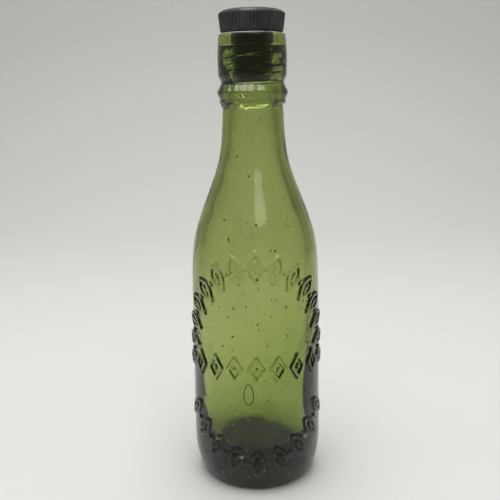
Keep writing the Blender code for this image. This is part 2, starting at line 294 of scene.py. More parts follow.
def lozenge_lines():
    half_width, half_length = LOZENGE_SIZE[0] / 2, LOZENGE_SIZE[1] / 2
    corners = [(0.0, half_length), (half_width, 0.0), (0.0, -half_length), (-half_width, 0.0)]
    return [corners + corners[:1], *pellet_lines()]


def pellet_lines():
    return [[(0.0, -PELLET_LENGTH / 2), (0.0, PELLET_LENGTH / 2)]]


def arch_path(u):
    angle = math.pi * (1 - u)
    return (ARCH_HALF_WIDTH * math.cos(angle), ARCH_FOOT + (ARCH_TOP - ARCH_FOOT) * math.sin(angle))


def row_path(u):
    return (ROW_HALF_WIDTH * (2 * u - 1), ROW_HEIGHT)


def curve_path(u):
    return (CURVE_HALF_WIDTH * (2 * u - 1), CURVE_FOOT + CURVE_RISE * (2 * u - 1) ** 2)


def ornament_band_tree(motif):
    """Copies of a motif at even distances along a path, each upright to the path."""
    values = {"Motif": motif, "Count": 1, "Start": 0.0, "End": 1.0}
    tree, wires = geometry_tree("ornament_band", values)
    path = wires["Geometry"]
    path = path.node("GeometryNodeMeshToCurve", inputs={"Mesh": path})
    ends = {"Curve": path, "Start": wires["Start"], "End": wires["End"]}
    path = path.node("GeometryNodeTrimCurve", inputs=ends)
    path = path.node("GeometryNodeResampleCurve", inputs={"Curve": path, "Count": wires["Count"]})
    along, _, rise = path.node("GeometryNodeInputTangent").split()
    turn = path.node("ShaderNodeCombineXYZ", inputs={"Y": 0.0 - path.math("ARCTAN2", rise, along)})
    motif = path.node("GeometryNodeObjectInfo", inputs={"Object": wires["Motif"]}, output="Geometry")
    placed = {"Points": path, "Instance": motif, "Rotation": turn}
    end_tree(path.node("GeometryNodeInstanceOnPoints", inputs=placed), wires["Material"])
    return tree


def ornament_object():
    """All three bands as one object of bare lines, on the plane that is wrapped round the wall."""
    leaf = link("leaf", line_mesh("leaf", leaf_lines()))
    lozenge = link("lozenge", line_mesh("lozenge", lozenge_lines()))
    pellet = link("pellet", line_mesh("pellet", pellet_lines()))
    tree = ornament_band_tree(leaf)
    lines = bmesh.new()
    for path_at, motif, count, spaces in (
        (arch_path, leaf, ARCH_LEAVES, 0),
        (arch_path, pellet, ARCH_LEAVES - 1, ARCH_LEAVES - 1),
        (row_path, lozenge, ROW_LOZENGES, 0),
        (curve_path, leaf, CURVE_LEAVES, 0),
        (curve_path, pellet, CURVE_LEAVES - 1, CURVE_LEAVES - 1),
    ):
        path = line_mesh("path", [[path_at(i / PATH_STEPS) for i in range(PATH_STEPS + 1)]])
        half_space = 0.5 / spaces if spaces else 0.0
        values = {"Motif": motif, "Count": count, "Start": half_space, "End": 1 - half_space}
        band = grown("band", path, tree, glass_material, values)
        lines.from_mesh(band.data)
        bpy.data.objects.remove(band)
    for motif in (leaf, lozenge, pellet):
        bpy.data.objects.remove(motif)
    mesh = bpy.data.meshes.new("ornament")
    lines.to_mesh(mesh)
    lines.free()
    return link("ornament", mesh)


ornament = ornament_object()

# Bottle. Blown in a mould, then the lip was laid on by hand as a thick ring and tooled,
# which left a V-shaped collar with a wandering lower edge. The mouth has a coarse screw
# thread inside. The wall is thick, and wavy on the inside where no mould touched it.

HEEL_TOP = 21.0 * MM
HEEL_HANDLES = (12.5 * MM, 3.6 * MM)
STANDING_RADIUS = 24.3 * MM
STANDING_WIDTH = 3.0 * MM
PUSH_UP_DEPTH = 1.6 * MM
PUSH_UP_HANDLES = (0.7, 0.3)
SHOULDER_FOOT = (30.84 * MM, 84.4 * MM)
SHOULDER_MIDDLE = (23.56 * MM, 136.5 * MM)
SHOULDER_SLOPE = math.radians(21.1)
FOOT_HANDLE = (0.4 * MM, 31.0 * MM)
MIDDLE_HANDLES = (18.7 * MM, 19.5 * MM)
NECK_HANDLE = (0.8 * MM, 25.4 * MM)
NECK_RADIUS = 14.05 * MM
NECK_TOP = 181.7 * MM
DRIP_FOOT = 176.0 * MM
LIP_CORNERS = (
    (10.4 * MM, 212.5 * MM),
    (11.2 * MM, 213.3 * MM),
    (15.2 * MM, 213.3 * MM),
    (15.97 * MM, 203.5 * MM),
    (15.75 * MM, 194.6 * MM),
    (14.3 * MM, 191.9 * MM),
    (16.5 * MM, 187.2 * MM),
    (14.9 * MM, 183.6 * MM),
    (NECK_RADIUS, NECK_TOP),
)
LIP_ROUNDS = (0.4 * MM, 1.2 * MM, 3.0 * MM, 0.8 * MM, 0.6 * MM, 0.4 * MM, 0.6 * MM)
ROUND_STEPS = 6
WALL = 4.6 * MM
NECK_BORE = 9.5 * MM
FLOOR_HEIGHT = 15.5 * MM
FLOOR_DOME = 0.8 * MM
FLOOR_RADIUS = 16.5 * MM
LOW_WALL = 6.2 * MM
INNER_HEEL_TOP = 31.0 * MM
INNER_HEEL_HANDLES = (6.0 * MM, 9.0 * MM)
LEAN = -1.0 * MM
LEAN_FOOT = (16.0 * MM, 35.0 * MM)
LEAN_TOP = (60.0 * MM, 105.0 * MM)
PAINTED_SHADE_TOP = (59.0 * MM, 67.0 * MM)
PAINTED_SHADE_FOOT_IN_MOUTH = (188.0 * MM, 190.0 * MM)
THREAD_LAND = 9.3 * MM
THREAD_FOOT = 189.0 * MM
THREAD_TOP = 206.4 * MM
THREAD_FADE = 2.0 * MM
THREAD_PITCH = 5.6 * MM
THREAD_DATUM = 192.4 * MM
GROOVE_DEPTH = 1.05 * MM
GROOVE_HALF_WIDTHS = (2.0 * MM, 0.9 * MM)
SEAT = ((10.4 * MM, 207.3 * MM), (10.4 * MM, 212.5 * MM))
RELIEF_HEIGHT = 0.98 * MM
STROKE_EDGES = (1.2 * MM, 0.58 * MM)
RELIEF_CLEAR = 2.0 * MM
OUTER_WAVE = (0.13 * MM, 75.0)
INNER_WAVE = (0.55 * MM, 75.0)
FOOT_WAVE_SHARE = 0.3
WAVE_FREE_RADIUS = 8.0 * MM
DRIP_DEPTH = 0.7 * MM
DRIP_EDGE = (179.2 * MM, 183.6 * MM)
DRIP_SOFTNESS = 0.35 * MM
DRIP_WANDER = 110.0
TOOL_MARKS = (0.07 * MM, 600.0)
COLUMNS = 360
FRONT_ANGLE = math.radians(88)
FRONT_SHARE = 0.84
MERGE_DISTANCE = 0.01 * MM


def bezier(start, start_handle, end_handle, end, steps=60):
    knots = [Vector((*knot, 0.0)) for knot in (start, start_handle, end_handle, end)]
    return [(point.x, point.y) for point in interpolate_bezier(*knots, steps + 1)]


def arc(centre, radii, start_degrees, end_degrees, steps=40):
    points = []
    for i in range(steps + 1):
        angle = math.radians(start_degrees + (end_degrees - start_degrees) * i / steps)
        radius = centre[0] + radii[0] * math.cos(angle)
        points.append((radius, centre[1] + radii[1] * math.sin(angle)))
    return points


def spaced(points, step):
    """The same line with its points at even distances of about one step."""
    line = [Vector(point) for point in points]
    lengths = [(there - here).length for here, there in zip(line, line[1:])]
    count = max(1, round(sum(lengths) / step))
    result, index, passed = [], 0, 0.0
    for k in range(count + 1):
        target = sum(lengths) * k / count
        while index < len(lengths) - 1 and passed + lengths[index] < target:
            passed += lengths[index]
            index += 1
        share = (target - passed) / lengths[index] if lengths[index] else 0.0
        result.append(tuple(line[index].lerp(line[index + 1], min(1.0, max(0.0, share)))))
    return result


def rounded(corners, reaches):
    """A line of corners in which each is rounded off over its own reach."""
    line = [Vector(corner) for corner in corners]
    points = [tuple(line[0])]
    for before, corner, after, reach in zip(line, line[1:], line[2:], reaches):
        start = corner + (before - corner).normalized() * min(reach, (before - corner).length / 2)
        end = corner + (after - corner).normalized() * min(reach, (after - corner).length / 2)
        points += bezier(start, start.lerp(corner, 2 / 3), end.lerp(corner, 2 / 3), end, ROUND_STEPS)
    return points + [tuple(line[-1])]


def shoulder(inset, neck_radius):
    """The S-shaped shoulder from the neck down to the body, set into the wall by inset."""
    down = Vector((math.sin(SHOULDER_SLOPE), -math.cos(SHOULDER_SLOPE)))
    inward = Vector((-math.cos(SHOULDER_SLOPE), -math.sin(SHOULDER_SLOPE)))
    middle = Vector(SHOULDER_MIDDLE) + inset * inward
    neck = (neck_radius, NECK_TOP)
    neck_handle = (neck_radius + NECK_HANDLE[0], NECK_TOP - NECK_HANDLE[1])
    foot = (SHOULDER_FOOT[0] - inset, SHOULDER_FOOT[1])
    foot_handle = (foot[0] - FOOT_HANDLE[0], foot[1] + FOOT_HANDLE[1])
    lower_handle, upper_handle = MIDDLE_HANDLES
    upper = bezier(neck, neck_handle, middle - down * upper_handle, middle)
    lower = bezier(middle, middle + down * lower_handle, foot_handle, foot)
    return upper + lower[1:]


def glass_rows():
    """The bottle's outline as rows (radius, height, shares), from the middle of the floor up
    the inside, over the lip, down the outside and under the base to its middle."""
    floor = arc((0.0, FLOOR_HEIGHT), (FLOOR_RADIUS, FLOOR_DOME), 90, 0)
    inner_radius = BODY_RADIUS - LOW_WALL
    inner_heel = bezier(
        (FLOOR_RADIUS, FLOOR_HEIGHT),
        (FLOOR_RADIUS + INNER_HEEL_HANDLES[0], FLOOR_HEIGHT),
        (inner_radius, INNER_HEEL_TOP - INNER_HEEL_HANDLES[1]),
        (inner_radius, INNER_HEEL_TOP),
    )
    inner_shoulder = shoulder(WALL, NECK_BORE)[::-1]
    thread = [(THREAD_LAND, THREAD_FOOT), (THREAD_LAND, THREAD_TOP)]
    outer_shoulder = shoulder(0.0, NECK_RADIUS)
    relief_top = ARCH_TOP + LEAF_SIZE[1] / 2 + STROKE_EDGES[0]
    drip = [point for point in outer_shoulder if point[1] > DRIP_FOOT]
    upper = [point for point in outer_shoulder if relief_top < point[1] <= DRIP_FOOT]
    lower = [point for point in outer_shoulder if point[1] <= relief_top]
    heel = bezier(
        (BODY_RADIUS, HEEL_TOP),
        (BODY_RADIUS, HEEL_TOP - HEEL_HANDLES[0]),
        (STANDING_RADIUS + HEEL_HANDLES[1], 0.0),
        (STANDING_RADIUS, 0.0),
    )
    relief_foot = CURVE_FOOT - LEAF_SIZE[1] / 2 - STROKE_EDGES[0]
    low_heel = [point for point in heel if point[1] < relief_foot]
    lower += [point for point in heel if point[1] >= relief_foot]
    push_up_radius = STANDING_RADIUS - STANDING_WIDTH
    foot_handle, top_handle = PUSH_UP_HANDLES
    under = bezier(
        (push_up_radius, 0.0),
        (foot_handle * push_up_radius, PUSH_UP_DEPTH),
        (top_handle * push_up_radius, PUSH_UP_DEPTH),
        (0.0, PUSH_UP_DEPTH),
    )
    foot_inside = {"coarse": 1.0, "inner_wave": FOOT_WAVE_SHARE}
    inside = {"coarse": 1.0, "inner_wave": 1.0}
    outside = {"coarse": 1.0, "outer_wave": 1.0}
    stretches = (
        (floor + inner_heel[1:], 1.2 * MM, foot_inside),
        ([inner_heel[-1], inner_shoulder[0]], 5.0 * MM, inside),
        (inner_shoulder, 3.0 * MM, inside),
        ([inner_shoulder[-1], thread[0]], 1.2 * MM, {"coarse": 1.0}),
        (thread, 0.46 * MM, {"coarse": 1.0, "thread": 1.0}),
        ([thread[1], *SEAT], 0.9 * MM, {"coarse": 1.0}),
        (rounded(LIP_CORNERS, LIP_ROUNDS), 0.62 * MM, {"coarse": 1.0, "drip": 1.0}),
        ([LIP_CORNERS[-1], *drip], 0.6 * MM, {"drip": 1.0, **outside}),
        ([drip[-1], *upper], 1.9 * MM, outside),
        ([upper[-1], *lower], 0.36 * MM, {"relief": 1.0, "outer_wave": 1.0}),
        ([lower[-1], *low_heel], 1.0 * MM, outside),
        ([low_heel[-1], under[0]], 1.5 * MM, {"coarse": 1.0}),
        (under, 1.9 * MM, {"coarse": 1.0}),
    )
    rows = []
    for points, step, shares in stretches:
        for radius, height in spaced(points, step)[1 if rows else 0 :]:
            # Each row's share of the painted shade that darkens the glass's edges, low in the body and in
            # the mouth.
            film = max(falling(height, *PAINTED_SHADE_TOP), 1.0 - falling(height, *PAINTED_SHADE_FOOT_IN_MOUTH))
            if "inner_wave" not in shares and "thread" not in shares:
                film = 0.0
            rows.append((radius, height, {**shares, "film": film}))
    return rows


def falling(value, low, high):
    return min(1.0, max(0.0, (high - value) / (high - low)))


def row_mesh(name, rows, effects):
    """An outline as a line of points, each with the share that its row has of each effect."""
    mesh = line_mesh(name, [[(radius, height) for radius, height, _ in rows]])
    for effect in effects:
        share = mesh.attributes.new(effect, "FLOAT", "POINT")
        share.data.foreach_set("value", [shares.get(effect, 0.0) for _, _, shares in rows])
    return mesh


def odd(number):
    """1 where a whole number is odd, and 0 where it is even."""
    return abs(number * 0.5 - number.math("ROUND", number * 0.5)).between(0.2, 0.3)


def turned_tree(name, values, effects, shape):
    """A tree that turns an outline about Z, with its columns closer together in front. shape
    takes the wires, a point's radius, height and angle and its row's shares, and returns its
    place and whether the wall is plain there. In a plain place every second column is marked
    to be taken out again, and in the rows with relief every second row too."""
    spread = {"Rows": 2, "Columns": 3, "Front Angle": 1.0, "Front Share": 0.5, "Merge": 0.0}
    tree, wires = geometry_tree(name, {**spread, **values})
    outline, columns, rows = wires["Geometry"], wires["Columns"], wires["Rows"]
    counts = {"Size X": 2.0, "Size Y": 1.0, "Vertices X": columns + 1.0, "Vertices Y": rows}
    grid = outline.node("GeometryNodeMeshGrid", inputs=counts)
    position = outline.node("GeometryNodeInputPosition")
    across, up, _ = position.split()
    row = (up + 0.5) * (rows - 1.0)
    row = row.node("FunctionNodeFloatToInt", {"rounding_mode": "ROUND"}, {0: row})
    front, share = wires["Front Angle"], wires["Front Share"]
    near, far = front / share, (math.pi - front) / (1.0 - share)
    past_front = across.math("MAXIMUM", abs(across) - share, 0.0) * across.math("SIGN", across)
    angle = across * near + past_front * (far - near) - math.pi / 2

    def in_row(value, data_type):
        source = {"Geometry": outline, "Value": value, "Index": row}
        return outline.node("GeometryNodeSampleIndex", {"data_type": data_type}, source)

    radius, _, height = in_row(position, "FLOAT_VECTOR").split()
    shares = {}
    for effect in effects:
        named = outline.node("GeometryNodeInputNamedAttribute", inputs={"Name": effect})
        shares[effect] = in_row(named, "FLOAT")
    place, plain = shape(wires, radius, height, angle, shares)
    column = (across + 1.0) * 0.5 * columns
    kept = {"spare_column": odd(column) * plain}
    if "relief" in shares:
        kept["spare_row"] = odd((up + 0.5) * (rows - 1.0)) * plain * shares["relief"]
        # The rows' share of the painted edge shade is passed on to the glass material.
        kept["film"] = shares["film"]
    marked = grid
    for mark, value in kept.items():
        marked = {"Geometry": marked, "Name": mark, "Value": value}
        marked = grid.node("GeometryNodeStoreNamedAttribute", {"data_type": "FLOAT"}, marked)
    moved = {"Geometry": marked, "Position": place}
    wall = grid.node("GeometryNodeSetPosition", inputs=moved)
    joined = {"Geometry": wall, "Distance": wires["Merge"]}
    end_tree(wall.node("GeometryNodeMergeByDistance", inputs=joined), wires["Material"])
    return tree


def point_on(radius, height, angle, shift=0.0):
    across = radius * angle.math("COSINE", angle) + shift
    sides = {"X": across, "Y": radius * angle.math("SINE", angle), "Z": height}
    return radius.node("ShaderNodeCombineXYZ", inputs=sides)


def unevenness(place, scale):
    """Noise from -1 to 1."""
    noise = {"Vector": place, "Scale": scale, "Detail": 1.0}
    return (place.node("ShaderNodeTexNoise", inputs=noise) - 0.5) * 2.0


def thread_distance(height, angle):
    """How far up or down a point is from the nearest turn of the screw thread."""
    turn = (height - THREAD_DATUM) / THREAD_PITCH - angle / (2 * math.pi)
    return abs(turn - turn.math("ROUND", turn)) * THREAD_PITCH


def glass_shape(wires, radius, height, angle, shares):
    place = point_on(radius, height, angle)
    steady = radius.between(0.0, WAVE_FREE_RADIUS)
    waves = shares["outer_wave"] * unevenness(place, wires["Outer Wave Scale"]) * wires["Outer Wave"]
    waves = waves + shares["inner_wave"] * unevenness(place, wires["Inner Wave Scale"]) * wires["Inner Wave"]
    round_wall = (angle + math.pi / 2) * BODY_RADIUS
    unrolled = place.node("ShaderNodeCombineXYZ", inputs={"X": round_wall, "Z": height})
    lines = place.node("GeometryNodeObjectInfo", inputs={"Object": wires["Ornament"]}, output="Geometry")
    nearest = {"Geometry": lines, "Sample Position": unrolled}
    nearest = place.node("GeometryNodeProximity", {"target_element": "EDGES"}, nearest, "Distance")
    relief = shares["relief"] * nearest.between(*STROKE_EDGES) * wires["Relief"]
    ends = height.between(THREAD_FOOT, THREAD_FOOT + THREAD_FADE)
    ends = ends * height.between(THREAD_TOP, THREAD_TOP - THREAD_FADE)
    groove = thread_distance(height, angle).between(*GROOVE_HALF_WIDTHS) * wires["Groove"] * ends
    upright = point_on(radius, 0.0 * height, angle)
    tooled = unevenness(upright, wires["Tool Mark Scale"]) * wires["Tool Marks"]
    edge = unevenness(upright, DRIP_WANDER) * 0.5 + 0.5
    edge = edge * (DRIP_EDGE[1] - DRIP_EDGE[0]) + DRIP_EDGE[0]
    collar = (height - edge).between(0.0 - DRIP_SOFTNESS, 0.0)
    drip = shares["drip"] * collar * (1.0 - height.between(DRIP_EDGE[1], DRIP_EDGE[1] + DRIP_SOFTNESS))
    drip = drip * wires["Drip"] + shares["drip"] * tooled
    lean = height.between(*LEAN_FOOT) * (1.0 - height.between(*LEAN_TOP))
    lean = shares["inner_wave"] * wires["Lean"] * lean
    radius = radius + waves * steady + relief + shares["thread"] * groove + drip
    plain = shares["coarse"] + shares["relief"] * nearest.math("GREATER_THAN", nearest, RELIEF_CLEAR)
    return point_on(radius, height, angle, lean), plain


def closed_piece(piece):
    """Joins what still meets, takes out the spare columns and rows, turns every face outwards
    and shades the piece smooth."""
    bm = bmesh.new()
    bm.from_mesh(piece.data)
    bmesh.ops.remove_doubles(bm, verts=bm.verts, dist=MERGE_DISTANCE / 2)
    for name in ("spare_column", "spare_row"):
        spare = bm.verts.layers.float.get(name)
        if spare:
            edges = [edge for edge in bm.edges if min(vert[spare] for vert in edge.verts) > 0.5]
            bmesh.ops.dissolve_edges(bm, edges=edges, use_verts=True)
            bm.verts.layers.float.remove(bm.verts.layers.float[name])
    bmesh.ops.recalc_face_normals(bm, faces=bm.faces)
    bm.to_mesh(piece.data)
    bm.free()
    piece.data.shade_smooth()
    return piece


def make_bottle():
    rows = glass_rows()
    # The last share marks where painted shade darkens the glass's edges.
    effects = ("coarse", "inner_wave", "outer_wave", "relief", "thread", "drip", "film")
    sizes = {
        "Ornament": ornament,
        "Outer Wave": OUTER_WAVE[0],
        "Outer Wave Scale": OUTER_WAVE[1],
        "Inner Wave": INNER_WAVE[0],
        "Inner Wave Scale": INNER_WAVE[1],
        "Relief": RELIEF_HEIGHT,
        "Groove": GROOVE_DEPTH,
        "Drip": DRIP_DEPTH,
        "Tool Marks": TOOL_MARKS[0],
        "Tool Mark Scale": TOOL_MARKS[1],
        "Lean": LEAN,
    }
    tree = turned_tree("turned_glass", sizes, effects, glass_shape)
    spread = {
        "Rows": len(rows),
        "Columns": COLUMNS,
        "Front Angle": FRONT_ANGLE,
        "Front Share": FRONT_SHARE,
        "Merge": MERGE_DISTANCE,
    }
    outline = row_mesh("glass_outline", rows, effects)
    return closed_piece(grown("bottle_glass", outline, tree, glass_material, {**sizes, **spread}))


bottle = make_bottle()
bpy.data.objects.remove(ornament)
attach(bottle, "root")
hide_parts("bottle")

# Seeds and blister. Gas trapped in the melt: small round and long bubbles all through the
# wall and the heel, and one long flat blister low in the front. Those in the wall show dark
# against the light behind them, and those in the heel show pale against the painted shade inside.

SEEDS_IN_WALL = 19000.0
SEEDS_IN_BASE = 5500.0
SEEDS_IN_WALL_FOOT = 40.0 * MM
SEED_SIZES = (0.17 * MM, 0.42 * MM)
BASE_SEED_SIZES = (0.25 * MM, 0.42 * MM)
SEED_TALLEST = 2.6
SEED_SHELL_COLUMNS = 60
SEED_SHELL_STEP = 4.0 * MM
BASE_SEEDS_LINE = (
    (30.3 * MM, 42.0 * MM),
    (30.1 * MM, 20.0 * MM),
    (27.8 * MM, 8.0 * MM),
    (0.0, 6.5 * MM),
)
EVEN_COLUMNS = {"Front Angle": math.pi / 2, "Front Share": 0.5}
BLISTER_MIDDLE = (-4.0 * MM, 51.0 * MM)
BLISTER_HALF_SIZE = (2.3 * MM, 5.0 * MM)
BLISTER_TAPER = 0.22
BLISTER_DEPTH = 1.6 * MM
BLISTER_THICKNESS = 0.2 * MM
BLISTER_STEPS = 72
BLISTER_SIDES = 8


def scatter_tree():
    """Small bodies strewn over a surface, most of them small and round."""
    values = {"Density": 1.0, "Seed": 1, "Smallest": 1.0, "Largest": 1.0, "Tallest": 1.0}
    tree, wires = geometry_tree("scattered_seeds", values)
    shell, seed = wires["Geometry"], wires["Seed"]
    strewn = {"Mesh": shell, "Density": wires["Density"], "Seed": seed}
    places = shell.node("GeometryNodeDistributePointsOnFaces", inputs=strewn)
    ball = shell.node("GeometryNodeMeshIcoSphere", inputs={"Radius": 1.0, "Subdivisions": 2})
    ball = ball.node("GeometryNodeSetShadeSmooth", inputs={"Geometry": ball})
    chance = shell.node("FunctionNodeRandomValue", inputs={"Seed": seed}, output=1)
    other = shell.node("FunctionNodeRandomValue", inputs={"Seed": seed + 1.0}, output=1)
    width = wires["Smallest"] + (wires["Largest"] - wires["Smallest"]) * chance.math("POWER", chance, 3.0)
    height = width * (1.0 + (wires["Tallest"] - 1.0) * other.math("POWER", other, 4.0))
    size = shell.node("ShaderNodeCombineXYZ", inputs={"X": width, "Y": width, "Z": height})
    placed = {"Points": places, "Instance": ball, "Scale": size}
    end_tree(shell.node("GeometryNodeInstanceOnPoints", inputs=placed), wires["Material"])
    return tree


def bubble_skin(name, colour, metallic, roughness):
    skin = {"Base Color": (*colour, 1.0), "Metallic": metallic, "Roughness": roughness}
    return new_material(name, skin)[0]


def bare_shape(wires, radius, height, angle, shares):
    return point_on(radius, height, angle), shares["coarse"]


def turned_shell(name, points, step):
    rows = [(radius, height, {}) for radius, height in spaced(points, step)]
    tree = turned_tree(name, {}, ("coarse",), bare_shape)
    spread = {"Rows": len(rows), "Columns": SEED_SHELL_COLUMNS, **EVEN_COLUMNS}
    return grown(name, row_mesh(name, rows, ("coarse",)), tree, glass_material, spread)


def make_seeds():
    middle = shoulder(WALL / 2, (NECK_RADIUS + NECK_BORE) / 2)
    middle += [(BODY_RADIUS - WALL / 2, SEEDS_IN_WALL_FOOT)]
    tree = scatter_tree()
    strewn = []
    for name, points, density, sizes, seed, skin in (
        ("seeds_in_wall", middle, SEEDS_IN_WALL, SEED_SIZES, 7, dark_skin),
        ("seeds_in_base", BASE_SEEDS_LINE, SEEDS_IN_BASE, BASE_SEED_SIZES, 3, bright_skin),
    ):
        shell = turned_shell(name + "_shell", points, SEED_SHELL_STEP)
        values = {"Smallest": sizes[0], "Largest": sizes[1], "Tallest": SEED_TALLEST}
        values = {"Density": density, "Seed": seed, **values}
        strewn.append(grown(name, shell.data, tree, skin, values))
        bpy.data.objects.remove(shell)
    return strewn


def make_blister():
    """A thin tube bent into a long oval that follows the wall."""
    bm = bmesh.new()
    reach = BODY_RADIUS - BLISTER_DEPTH
    rings = []
    for i in range(BLISTER_STEPS):
        round_oval = 2 * math.pi * i / BLISTER_STEPS
        taper = 1.0 - BLISTER_TAPER * math.sin(round_oval)
        ring = []
        for k in range(BLISTER_SIDES):
            round_tube = 2 * math.pi * k / BLISTER_SIDES
            outward = BLISTER_THICKNESS * math.cos(round_tube)
            across = BLISTER_MIDDLE[0] + (BLISTER_HALF_SIZE[0] * taper + outward) * math.cos(round_oval)
            height = BLISTER_MIDDLE[1] + (BLISTER_HALF_SIZE[1] + outward) * math.sin(round_oval)
            angle = across / BODY_RADIUS - math.pi / 2
            radius = reach + BLISTER_THICKNESS * math.sin(round_tube)
            ring.append(bm.verts.new((radius * math.cos(angle), radius * math.sin(angle), height)))
        rings.append(ring)
    for ring, following in zip(rings, rings[1:] + rings[:1]):
        for k in range(BLISTER_SIDES):
            beside = (k + 1) % BLISTER_SIDES
            bm.faces.new((ring[k], ring[beside], following[beside], following[k]))
    bmesh.ops.recalc_face_normals(bm, faces=bm.faces)
    mesh = bpy.data.meshes.new("blister")
    bm.to_mesh(mesh)
    bm.free()
    mesh.shade_smooth()
    mesh.materials.append(dark_skin)
    return link("blister", mesh)


dark_skin = bubble_skin("dark_bubble_skin", (0.05, 0.06, 0.02), 1.0, 0.12)
bright_skin = bubble_skin("bright_bubble_skin", (0.95, 0.97, 0.88), 0.35, 0.35)
for trapped in (*make_seeds(), make_blister()):
    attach(trapped, "root")

# Stopper. Turned and moulded in hard vulcanised rubber, screwed down into the mouth: a
# shank with one coarse ridge round it, a plain collar in the seat of the mouth, and a
# head with fine upright ribs and a low dome. It is matte, and worn pale on the ribs.

SHANK_FOOT = 193.2 * MM
SHANK_RADIUS = 8.75 * MM
SHANK_BEVEL = 0.9 * MM
COLLAR_RADIUS = 9.6 * MM
COLLAR_FOOT = 207.6 * MM
HEAD_FOOT = 213.7 * MM
HEAD_FOOT_RADIUS = 14.3 * MM
HEAD_RADIUS = 15.15 * MM
HEAD_SHOULDER = 221.2 * MM
HEAD_TOP = 224.2 * MM
HEAD_ROUND = 1.4 * MM
HEAD_FOOT_BEVEL = (0.4 * MM, 0.5 * MM)
RIDGE_ENDS = (196.0 * MM, 205.6 * MM)
RIDGE_FADE = 1.4 * MM
RIDGE_HEIGHT = 1.15 * MM
RIDGE_HALF_WIDTHS = (1.65 * MM, 0.7 * MM)
HEAD_RIBS = 60
RIB_DEPTH = 0.32 * MM
STOPPER_COLUMNS = 360
RUBBER_COLOUR = (0.030, 0.024, 0.029)
RUBBER_WORN_COLOUR = (0.085, 0.072, 0.078)
# Painted highlight: pale patches along the rounded top edge of the head.
PAINTED_EDGE_HIGHLIGHT_COLOUR = (0.2, 0.185, 0.19)
EDGE_HIGHLIGHT_HEIGHTS = (0.2 * MM, 1.3 * MM, 1.7 * MM)
RUBBER_ROUGHNESS = 0.5


def stopper_rows():
    """Rows from the middle of the shank's foot, up its side and over the head to its top."""
    shank = [
        (0.0, SHANK_FOOT),
        (SHANK_RADIUS - SHANK_BEVEL, SHANK_FOOT),
        (SHANK_RADIUS, SHANK_FOOT + SHANK_BEVEL),
    ]
    collar = [(SHANK_RADIUS, COLLAR_FOOT), (COLLAR_RADIUS, COLLAR_FOOT), (COLLAR_RADIUS, HEAD_FOOT)]
    bevel_in, bevel_up = HEAD_FOOT_BEVEL
    underside = [(COLLAR_RADIUS, HEAD_FOOT), (HEAD_FOOT_RADIUS - bevel_in, HEAD_FOOT)]
    side = [underside[-1], (HEAD_FOOT_RADIUS, HEAD_FOOT + bevel_up), (HEAD_RADIUS, HEAD_SHOULDER)]
    edge = arc((HEAD_RADIUS - HEAD_ROUND, HEAD_SHOULDER), (HEAD_ROUND, HEAD_ROUND), 0, 72)
    dome_radius, dome_foot = edge[-1]
    dome = arc((0.0, dome_foot), (dome_radius, HEAD_TOP - dome_foot), 0, 90)
    stretches = (
        (shank, 1.3 * MM, {"coarse": 1.0}),
        ([shank[-1], collar[0]], 0.42 * MM, {"coarse": 1.0, "ridge": 1.0}),
        (collar, 0.9 * MM, {"coarse": 1.0}),
        (underside, 1.2 * MM, {"coarse": 1.0}),
        (side, 0.55 * MM, {"ribs": 1.0}),
        (edge, 0.35 * MM, {"ribs": 0.55}),
        (dome, 1.1 * MM, {"coarse": 1.0}),
    )
    rows = []
    for points, step, shares in stretches:
        for radius, height in spaced(points, step)[1 if rows else 0 :]:
            rows.append((radius, height, shares))
    return rows


def rubber_shape(wires, radius, height, angle, shares):
    ends = height.between(RIDGE_ENDS[0], RIDGE_ENDS[0] + RIDGE_FADE)
    ends = ends * height.between(RIDGE_ENDS[1], RIDGE_ENDS[1] - RIDGE_FADE)
    ridge = thread_distance(height, angle).between(*RIDGE_HALF_WIDTHS) * wires["Ridge"] * ends
    rib = (1.0 - angle.math("COSINE", angle * wires["Ribs"])) * 0.5
    rib = shares["ribs"] * rib * wires["Rib Depth"]
    return point_on(radius + shares["ridge"] * ridge - rib, height, angle), shares["coarse"]


def hard_rubber():
    material, shader, wire = new_material("hard_rubber", {"Specular IOR Level": 0.45})
    place = wire.node("ShaderNodeTexCoord", output="Object")
    x, y, height = place.split()
    clouds = wire.node("ShaderNodeTexNoise", inputs={"Vector": place, "Scale": 160.0, "Detail": 5.0})
    grain = wire.node("ShaderNodeTexNoise", inputs={"Vector": place, "Scale": 2600.0, "Detail": 2.0})
    crest = wire.math("COSINE", wire.math("ARCTAN2", y, x) * float(HEAD_RIBS))
    on_side = height.between(HEAD_FOOT, HEAD_FOOT + 1.5 * MM) * height.between(HEAD_TOP, HEAD_SHOULDER)
    wear_and_painted_highlight = crest.between(0.2, 1.0) * on_side * clouds.between(0.35, 0.62)
    chalky = clouds.between(0.5, 0.75) * 0.5
    tone = wear_and_painted_highlight.math("MAXIMUM", wear_and_painted_highlight, chalky)
    mixed = {0: tone, 6: (*RUBBER_COLOUR, 1.0), 7: (*RUBBER_WORN_COLOUR, 1.0)}
    rubber = wire.node("ShaderNodeMix", {"data_type": "RGBA"}, mixed, 2)
    # Painted highlight: pale patches along the rounded top edge of the head.
    edge_foot, edge_middle, edge_top = (HEAD_SHOULDER + rise for rise in EDGE_HIGHLIGHT_HEIGHTS)
    on_edge = height.between(edge_foot, edge_middle) * height.between(edge_top + 0.5 * MM, edge_top)
    edge_highlight = on_edge * clouds.between(0.48, 0.62) * grain.between(0.3, 0.6)
    mixed = {0: edge_highlight, 6: rubber, 7: (*PAINTED_EDGE_HIGHLIGHT_COLOUR, 1.0)}
    feed(shader, "Base Color", wire.node("ShaderNodeMix", {"data_type": "RGBA"}, mixed, 2))
    feed(shader, "Roughness", grain.between(0.3, 0.7) * 0.16 + RUBBER_ROUGHNESS)
    bump = {"Height": grain + clouds, "Distance": 0.06 * MM, "Strength": 0.6}
    feed(shader, "Normal", wire.node("ShaderNodeBump", inputs=bump))
    return material


